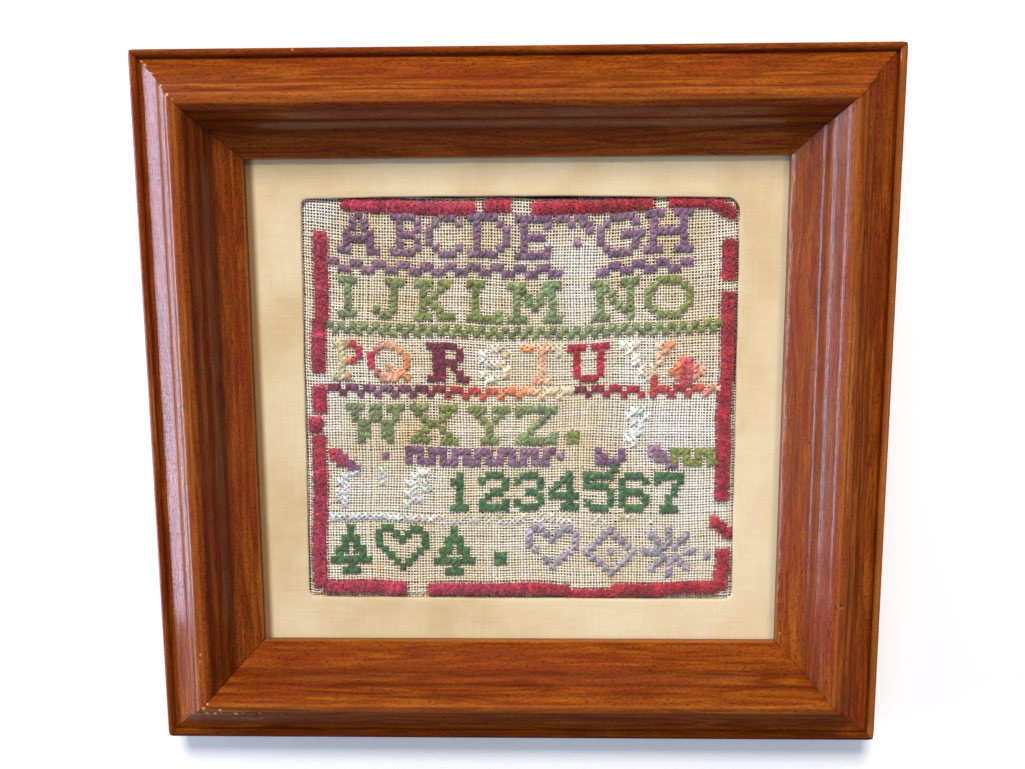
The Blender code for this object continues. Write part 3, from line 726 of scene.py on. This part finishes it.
# Each line of a piece: what is stitched, its top row, the wools that the shade runs through, how worn
# the wool is from 0 to 1, and the share of stitches still there. What is stitched is charts, each with
# the column it starts at, or a repeat with its first and last column.
stitchedPieces = {
    "stitches_purple": {
        "letters": (
            (("A", 6), ("B", 15), ("C", 21), ("D", 28), ("E", 36)),
            1.3, ("purple", "plum", "purple"), 0.0, 1.0),
        "lettersEnd": ((("F", 43), ("G", 50), ("H", 58)), 1.3, ("plum", "purple"), 0.0, 1.0),
        "slope": ((("slope", 4),), 44, ("raspberry", "purple"), 0.0, 1.0),
        "dots": ((("one", 13), ("one", 43.5)), 44.5, ("plum",), 0.0, 1.0),
        "bar": ((("bar", 50), ("hook", 51)), 43.5, ("purple",), 0.0, 1.0),
        "slopeEnd": ((("slope", 59),), 43, ("plum",), 0.0, 1.0),
        "zigzag": (("##.. ..##", 4, 44), 9.5, ("plum", "purple"), 0.0, 1.0),
        "zigzagEnd": (("..## ##..", 50, 66), 9.5, ("purple",), 0.0, 1.0),
        "meander": (("###. #.#. #.##", 17, 43), 43.5, ("purple", "plum"), 0.0, 1.0),
    },
    "stitches_green": {
        "letters": (
            (("I", 6), ("J", 12), ("K", 19), ("L", 28), ("M", 35), ("N", 49), ("O", 58)),
            12.5, ("sage", "olive", "sage", "olive"), 0.0, 1.0),
        "lettersEnd": (
            (("W", 7), ("X", 18), ("Y", 28), ("Z", 36)), 35.5, ("sage", "olive", "sage"), 0.0, 1.0),
        "dot": ((("spot", 45),), 40.5, ("olive",), 0.0, 1.0),
        "zigzag": (("#. .#", 4, 71), 20.5, ("sage", "olive", "sage", "olive"), 0.0, 1.0),
        "meander": (("###. #.#. #.##", 63, 71), 43.5, ("olive",), 0.0, 1.0),
    },
    "stitches_shaded": {
        "P": ((("P", 5),), 24, ("oliveCream", "oliveCream", "scarlet", "raspberry"), 0.15, 1.0),
        "Q": ((("Q", 11),), 24, ("raspberry", "peach", "orange"), 0.1, 1.0),
        "R": ((("R", 21),), 24, ("maroon", "maroon"), 0.0, 1.0),
        "S": ((("S", 30),), 24, ("oldWhite", "tan"), 0.25, 0.9),
        "T": ((("T", 37),), 24, ("orange", "peach", "straw"), 0.2, 0.95),
        "U": ((("U", 45),), 24, ("crimson", "crimson"), 0.0, 1.0),
        "V": ((("V", 54),), 24, ("oldWhite", "straw", "orange"), 0.2, 0.95),
        "crossEnd": ((("cross", 62),), 27, ("orange", "raspberry", "peach"), 0.05, 1.0),
        "bandStart": (
            ("##. ..#", 4, 38), 32, ("maroon", "purple", "maroon", "scarlet", "orange"), 0.0, 1.0),
        "bandFaded": (("##. ..#", 38, 46), 32, ("peach", "tan", "straw"), 0.2, 1.0),
        "bandEnd": (("##. ..#", 46, 58), 32, ("maroon", "crimson"), 0.0, 1.0),
        "bandTail": (("##. ..#", 60, 71), 32, ("scarlet", "crimson", "scarlet", "peach"), 0.0, 1.0),
        "bandRise": (("# # # # #", 59, 60), 29, ("scarlet",), 0.0, 1.0),
    },
    "stitches_dark_green": {
        "stray": ((("one", 52.7),), 46.7, ("darkGreen",), 0.0, 1.0),
        "numerals": (
            (("1", 24), ("2", 30), ("3", 36), ("4", 42), ("5", 48), ("6", 54), ("7", 60)),
            48, ("darkGreen", "darkGreen"), 0.0, 1.0),
        "motifs": ((("tree", 4), ("heart", 12), ("tree", 22)), 58, ("darkGreen",), 0.0, 1.0),
        "dot": ((("spot", 32.5),), 63, ("darkGreen",), 0.0, 1.0),
    },
    "stitches_lilac": {
        "motifs": ((("heart", 38), ("diamond", 48), ("star", 58)), 58, ("lilac",), 0.0, 0.98),
        "dot": ((("one", 68.5),), 63, ("lilac",), 0.0, 1.0),
    },
    "stitches_white": {
        "top": ((("worn", 54),), 36, ("oldWhite", "paleBlue"), 0.3, 0.95),
        "left": (
            (("wornTall", 5), ("bar", 12.5), ("flake", 17)), 47.5, ("paleBlue", "oldWhite"), 0.3, 0.95),
        "paleLine": (("#", 4, 22), 56, ("paleBlue", "oldWhite"), 0.4, 0.95),
        "strawLine": (("#", 22, 60), 55.6, ("straw", "straw"), 0.95, 0.5),
        "paleLineEnd": (("#", 22, 60), 56.6, ("paleBlue", "oldWhite", "paleBlue"), 0.95, 0.65),
    },
}

borderShades = ("raspberry", "raspberry", "crimson", "crimson")

# Border runs two stitches wide: first column and row, last column and row.
borderRuns = (
    (7, -0.9, 16, -0.9), (17, -0.6, 28, -0.7), (31, -1.1, 34, -1.2), (39, -0.9, 50, -1), (51, -1.2, 58, -1.2),
    (62, -1.1, 68, -0.9), (69, -0.3, 70, 0), (71, 0.8, 72, 1.4), (2, 5.5, 2, 19.5), (1.6, 20.5, 1.6, 28.5),
    (1.4, 32.5, 1.4, 36), (0.7, 38, 0.7, 39.5), (1.2, 41.5, 1, 68.5), (71.2, 7, 71, 12.5),
    (71, 16, 71, 30), (70.8, 31, 70.6, 52), (69.8, 56.3, 72, 58.3), (70.8, 62.5, 70.6, 68.5),
    (3, 68.6, 16, 68.6), (21, 68.9, 44, 69), (45, 69.8, 52, 69.8), (53, 68.8, 70, 68.4),
)


# Stitches of a chart, each as its column and row and how many of them it spans.
def chartCells(chart, column, row):
    return [(column + i, row + j, 1, 1) for j, line in enumerate(chart.split())
            for i, mark in enumerate(line) if mark == "#"]


# Stitches of a repeat run from its first column up to its last.
def bandCells(repeat, first, last, row):
    return [(column, row + j, 1, 1) for j, line in enumerate(repeat.split())
            for column in range(first, last) if line[(column - first) % len(line)] == "#"]


# Stitches of a border run: each spans two across the run's way and one along it.
def runCells(firstColumn, firstRow, lastColumn, lastRow):
    wide, tall = abs(lastColumn - firstColumn), abs(lastRow - firstRow)
    cells = []
    for t in np.linspace(0, 1, round(max(wide, tall)) + 1):
        column = firstColumn + (lastColumn - firstColumn) * t
        row = firstRow + (lastRow - firstRow) * t
        cells.append((column, row, 1, 2) if wide > tall else (column, row, 2, 1))
    return cells


# Wool colours of stitches: the shade runs evenly through the named wools from left to right, and each
# stitch is a little lighter or darker than the next.
def shadeCells(cells, names, draw):
    columns = np.array([cell[0] for cell in cells], float)
    share = (columns - columns.min()) / max(np.ptp(columns), 1) * (len(names) - 1)
    stops = np.array([linear(wools[name])[:3] for name in names])
    low = np.clip(np.floor(share).astype(int), 0, max(len(names) - 2, 0))
    high = np.minimum(low + 1, len(names) - 1)
    colours = stops[low] + (stops[high] - stops[low]) * (share - low)[:, None]
    return colours * np.exp(draw.normal(0, 0.12, (len(cells), 1)) + draw.normal(0, 0.04, (len(cells), 3)))


# Wool strands from A to B: a humped line z = face + lift * (1 - |2t-1|^3) - dive at the ends, carrying a
# flattened ring whose radius, 1 + ply * cos 2(angle - twist t), winds two plies round each other.
def strandRings(w, start, end, lift, thin, draw):
    count, t = len(start), np.linspace(0, 1, w["stations"])
    flat = start[:, None] + (end - start)[:, None] * t[None, :, None]
    flat = flat + draw.normal(0, w["lineStray"], flat.shape)
    face = clothHeight(flat[..., 0], flat[..., 1])
    hump = 1 - np.abs(2 * t - 1) ** 3
    z = face + lift[:, None] * hump - w["dive"] * (1 - hump)
    line = np.concatenate([flat, z[..., None]], -1)
    ahead = unit(np.gradient(line, axis=1))
    side = unit(np.stack([-ahead[..., 1], ahead[..., 0], np.zeros_like(z)], -1))
    up = np.cross(ahead, side)
    angle = np.linspace(0, 2 * np.pi, w["sides"], endpoint=False)
    phase = draw.uniform(0, np.pi, (count, 1, 1)) + 2 * np.pi * w["twist"] * t[None, :, None]
    lobes = 1 + w["ply"] * np.cos(2 * (angle[None, None] - phase))
    lobes = lobes + draw.normal(0, w["lumps"], (count, len(t), w["sides"]))
    taper = 1 - w["taper"] * (1 - np.sin(np.pi * t) ** 0.6)
    wide = w["halfWidth"] * (1 - w["wornWidth"] * thin) * np.exp(draw.normal(0, 0.12, count))
    tall = w["halfHeight"] * (1 - w["wornHeight"] * thin)
    reach = (wide[:, None] * taper)[..., None] * lobes * np.cos(angle)
    height = (tall[:, None] * taper)[..., None] * lobes * np.sin(angle)
    return line[:, :, None] + side[:, :, None] * reach[..., None] + up[:, :, None] * height[..., None]


# Loose fibres: each is a three-sided cone from a point in the strand to a tip further out,
# tip = root + length * (way + drift), four points a fibre with the tip last.
def hairPoints(middle, way, length, width, draw):
    way = unit(way + draw.normal(0, 0.45, way.shape))
    side = unit(np.cross(way, draw.normal(0, 1, way.shape)))
    other = np.cross(way, side)
    reach = (length * draw.uniform(0.5, 1.3, len(middle)))[:, None]
    corners = [middle + (side * math.cos(a) + other * math.sin(a)) * width / 2
               for a in (0, 2 * np.pi / 3, 4 * np.pi / 3)]
    return np.stack(corners + [middle + way * reach], 1)


# One piece of cross stitches: on each cell a lower arm runs down to the right and an upper arm up,
# or on some cells the other way about.
def makeStitches(name, groups, material, seed, w=woolShape):
    draw = np.random.default_rng(seed)
    cells, colours, thin = [], [], []
    taken = set()
    for own, names, worn, kept in groups:
        own = [cell for cell in dict.fromkeys(own) if cell not in taken and draw.uniform() < kept]
        taken.update(own)
        cells += own
        colours.append(shadeCells(own, names, draw))
        thin.append(np.clip(worn + draw.normal(0, 0.1, len(own)), 0, 0.95))
    cells, colours, thin = np.array(cells, float), np.concatenate(colours), np.concatenate(thin)
    column, row, wide, tall = cells.T
    back = draw.uniform(0, 1, len(cells)) < w["crossedBack"]
    rings, tints = [], []
    for rise in (0, 1):
        start, end = onCanvas(column, row + rise * tall), onCanvas(column + wide, row + (1 - rise) * tall)
        shift = draw.normal(0, w["armStray"], start.shape)
        spill = (end - start) * w["spill"] * (1 - thin[:, None])
        start, end = start - spill + shift, end + spill + shift
        over = np.where(back, rise == 0, rise == 1)
        lifts = np.where(over, w["upperLift"], w["lowerLift"]) * (1 - w["wornLift"] * thin)
        lifts = lifts * np.exp(draw.normal(0, 0.15, len(cells)))
        rings.append(strandRings(w, start, end, lifts, thin, draw))
        tints.append(colours * np.exp(draw.normal(0, 0.1, (len(cells), 1))))
    rings, tints = np.concatenate(rings), np.concatenate(tints)
    strand = np.repeat(np.arange(len(rings)), w["hairs"] // 2)
    station = draw.integers(0, w["stations"], len(strand))
    root = rings[strand, station, draw.integers(0, w["sides"] // 2 + 1, len(strand))]
    spine = rings.mean(2)
    outward = unit(root - spine[strand, station])
    heading = unit(np.gradient(spine, axis=1))
    along = np.linspace(-1, 1, w["stations"])
    flare = along * np.abs(along) * w["flare"]
    way = outward + heading[strand, station] * flare[station][:, None] + (0, 0, 0.3)
    length = w["hairLength"] * (1 - 0.8 * np.tile(thin, 2)[strand])
    hairs = hairPoints(root - outward * 0.1, way, length, w["hairWidth"], draw)
    points = np.concatenate([rings.reshape(-1, 3), hairs.reshape(-1, 3)])
    perStrand = w["stations"] * w["sides"]
    foot = len(rings) * perStrand + 4 * np.arange(len(hairs))[:, None]
    hairFaces = np.concatenate([
        foot + np.array(corners) for corners in ((0, 2, 1), (0, 1, 3), (1, 2, 3), (2, 0, 3))])
    hairTint = tints[strand] * np.exp(draw.normal(0.12, 0.12, (len(strand), 1)))
    tint = np.concatenate([np.repeat(tints, perStrand, axis=0), np.repeat(hairTint, 4, axis=0)])
    tint = np.concatenate([tint, np.ones((len(tint), 1))], 1)
    piece = newPiece(name, points * mm, [*tubeFaces(*rings.shape[:3]), hairFaces], material, {"wool": tint})
    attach(piece, "root")
    print(name, len(cells), "crosses", len(hairs), "hairs")
    return piece


woolFinish = {"fibre": 1 / 2.4, "fade": 1 / 0.62}   # mm; real fibres are near 0.03 mm, drawn coarser


# Two-ply worsted wool: soft and matt with a bloom of fibres, faded in patches, its plies in the shape
# and its fibres as fine bump.
def woolMaterial():
    material, tree, shader = newMaterial("worstedWool", {
        "Roughness": 0.95, "Sheen Weight": 0.35, "Sheen Roughness": 0.6, "Specular IOR Level": 0.1,
        "Subsurface Weight": 0.15, "Subsurface Radius": (1.0, 0.8, 0.8), "Subsurface Scale": 0.5 * mm})
    wool = addNode(tree, "Attribute", {"attribute_name": "wool"})
    place = addNode(tree, "TexCoord").outputs["Object"]
    fibre = addNode(tree, "TexNoise", {
        "Scale": 1 / (woolFinish["fibre"] * mm), "Detail": 3.0, "Roughness": 0.65}, {"Vector": place})
    fade = addNode(tree, "TexNoise", {"Scale": 1 / (woolFinish["fade"] * mm), "Detail": 2.0},
                   {"Vector": place})
    shade = addNode(tree, "MapRange", {"From Min": 0.3, "From Max": 0.7, "To Min": 0.66, "To Max": 1.3},
                    {"Value": fibre.outputs["Fac"]})
    slow = addNode(tree, "MapRange", {"From Min": 0.34, "From Max": 0.66, "To Min": 0.68, "To Max": 1.26},
                   {"Value": fade.outputs["Fac"]})
    both = addNode(tree, "Math", {"operation": "MULTIPLY"}, {0: shade.outputs[0], 1: slow.outputs[0]})
    colour = addNode(tree, "Mix", {"data_type": "RGBA", "blend_type": "MULTIPLY", 0: 1.0},
                     {6: wool.outputs["Color"], 7: both.outputs[0]})
    tree.links.new(colour.outputs[2], shader.inputs["Base Color"])
    bump = addNode(tree, "Bump", {"Strength": 1.0, "Distance": 0.2 * mm}, {"Height": fibre.outputs["Fac"]})
    tree.links.new(bump.outputs[0], shader.inputs["Normal"])
    return material


# The groups of stitches that a piece's lines give: their cells, wools, wear and share kept.
def gather(lines):
    groups = []
    for what, row, names, worn, kept in lines.values():
        if isinstance(what[0], str):
            cells = bandCells(*what, row)
        else:
            cells = [cell for chart, column in what for cell in chartCells(charts[chart], column, row)]
        groups.append((cells, names, worn, kept))
    return groups


worsted = woolMaterial()
borderCells = [cell for run in borderRuns for cell in runCells(*run)]
borderGroup = (borderCells, borderShades, 0.0, 1.0)
stitches = [makeStitches("stitches_border", [borderGroup], worsted, 11, borderShape)]
for seed, (name, lines) in enumerate(stitchedPieces.items(), 12):
    stitches.append(makeStitches(name, gather(lines), worsted, seed))

# Backboard

board = {
    "brown": "#5b4330", "dark": "#3a2a1e", "pale": "#7a6048",
    "blotch": 1 / 0.024, "fleck": 1 / 0.7,   # mm
}


# Old hardboard: dull brown pressed fibre with darker blotches and pale flecks.
def boardMaterial():
    material, tree, shader = newMaterial("oldHardboard", {"Roughness": 0.92, "Specular IOR Level": 0.2})
    place = addNode(tree, "TexCoord").outputs["Object"]
    blotch, fleck = (addNode(tree, "TexNoise", {"Scale": 1 / (board[key] * mm), "Detail": detail},
                             {"Vector": place}) for key, detail in (("blotch", 5.0), ("fleck", 3.0)))
    base = addNode(tree, "ValToRGB", None, {"Fac": blotch.outputs["Fac"]}, [
        (0.35, linear(board["dark"])), (0.62, linear(board["brown"]))])
    pale = addNode(tree, "MapRange", {"From Min": 0.58, "From Max": 0.7, "To Max": 0.7},
                   {"Value": fleck.outputs["Fac"]})
    colour = addNode(tree, "Mix", {"data_type": "RGBA", 7: linear(board["pale"])},
                     {0: pale.outputs[0], 6: base.outputs[0]})
    tree.links.new(colour.outputs[2], shader.inputs["Base Color"])
    bump = addNode(tree, "Bump", {"Strength": 0.5, "Distance": 0.15 * mm}, {"Height": fleck.outputs["Fac"]})
    tree.links.new(bump.outputs[0], shader.inputs["Normal"])
    return material


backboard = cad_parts["backboard"]
backboard.data.materials.clear()
backboard.data.materials.append(boardMaterial())
print("backboard finished")

# Floor, light and camera

studio = {
    "floor": "#f5f9ff", "floorSize": 6.0, "leftEdge": -0.17,
    "world": "#dde7f8", "worldStrength": 0.5, "mirroredWorld": 0.035,
    "keyPlace": (-0.3, 2.9, 2.8), "keySize": (1.1, 1.1), "keyPower": 177.0, "keyColour": "#fff2e2",
    "windowPlace": (-3.0, 0.3, 0.4), "windowSize": (3.0, 0.8), "windowPower": 127.0,
    "windowColour": "#d3deff",
    "lampPlace": (1.6, -0.4, 2.2), "lampSize": (0.5, 0.5), "lampPower": 6.0, "lampColour": "#ffe6cc",
    "aim": (0.0, 0.0, 0.02),
}


# An area light that faces the object.
def addLight(name, place, size, power, colour):
    light = bpy.data.lights.new(name, "AREA")
    light.shape = "RECTANGLE"
    light.size, light.size_y = size
    light.energy = power
    light.color = linear(colour)[:3]
    lamp = bpy.data.objects.new(name, light)
    bpy.context.scene.collection.objects.link(lamp)
    lamp.location = place
    away = lamp.location - type(lamp.location)(studio["aim"])
    lamp.rotation_euler = away.to_track_quat("Z", "Y").to_euler()
    return lamp


# The floor in two sheets that meet under the frame. The polish mirrors the left one only, so that its
# other sides show the wood's own colour.
floorMaterial, floorTree, floorShader = newMaterial("paleFloor", {
    "Base Color": linear(studio["floor"]), "Roughness": 0.9, "Specular IOR Level": 0.1})
far, edge = studio["floorSize"] / 2, studio["leftEdge"]
for name, low, high in (("floorLeft", -far, edge), ("floorRight", edge, far)):
    corners = np.array([(low, -far, 0), (high, -far, 0), (high, far, 0), (low, far, 0)])
    sheet = newPiece(name, corners, [np.array([[0, 1, 2, 3]])], floorMaterial)
    sheet.visible_glossy = name == "floorLeft"

world = bpy.data.worlds.new("softRoom")
world.use_nodes = True
background = world.node_tree.nodes["Background"]
background.inputs["Color"].default_value = linear(studio["world"])
ray = addNode(world.node_tree, "LightPath")
dimmed = addNode(world.node_tree, "MapRange", {
    "To Min": studio["worldStrength"], "To Max": studio["mirroredWorld"]},
    {"Value": ray.outputs["Is Glossy Ray"]})
world.node_tree.links.new(dimmed.outputs[0], background.inputs["Strength"])
bpy.context.scene.world = world
bpy.context.scene.view_settings.view_transform = "Standard"

for name in ("key", "window", "lamp"):
    lamp = addLight(name, *(studio[name + part] for part in ("Place", "Size", "Power", "Colour")))
    lamp.visible_glossy = name != "key"   # the room above is dim where the polish mirrors it

photoCamera = {
    "place": (8.907, 78.532, 455.336),     # mm
    "turn": (-8.755, 1.362, -0.138),       # degrees about x, y and z, z turned first
    "focalLength": 1032.72, "imageWidth": 1025, "sensor": 36.0,
}
camera = bpy.data.objects.new("photoCamera", bpy.data.cameras.new("photoCamera"))
bpy.context.scene.collection.objects.link(camera)
camera.location = [value * mm for value in photoCamera["place"]]
camera.rotation_mode = "ZYX"
camera.rotation_euler = [math.radians(angle) for angle in photoCamera["turn"]]
camera.data.sensor_width = photoCamera["sensor"]
camera.data.lens = photoCamera["focalLength"] / photoCamera["imageWidth"] * photoCamera["sensor"]
camera.data.clip_start = 0.01
bpy.context.scene.camera = camera
print("studio lit")
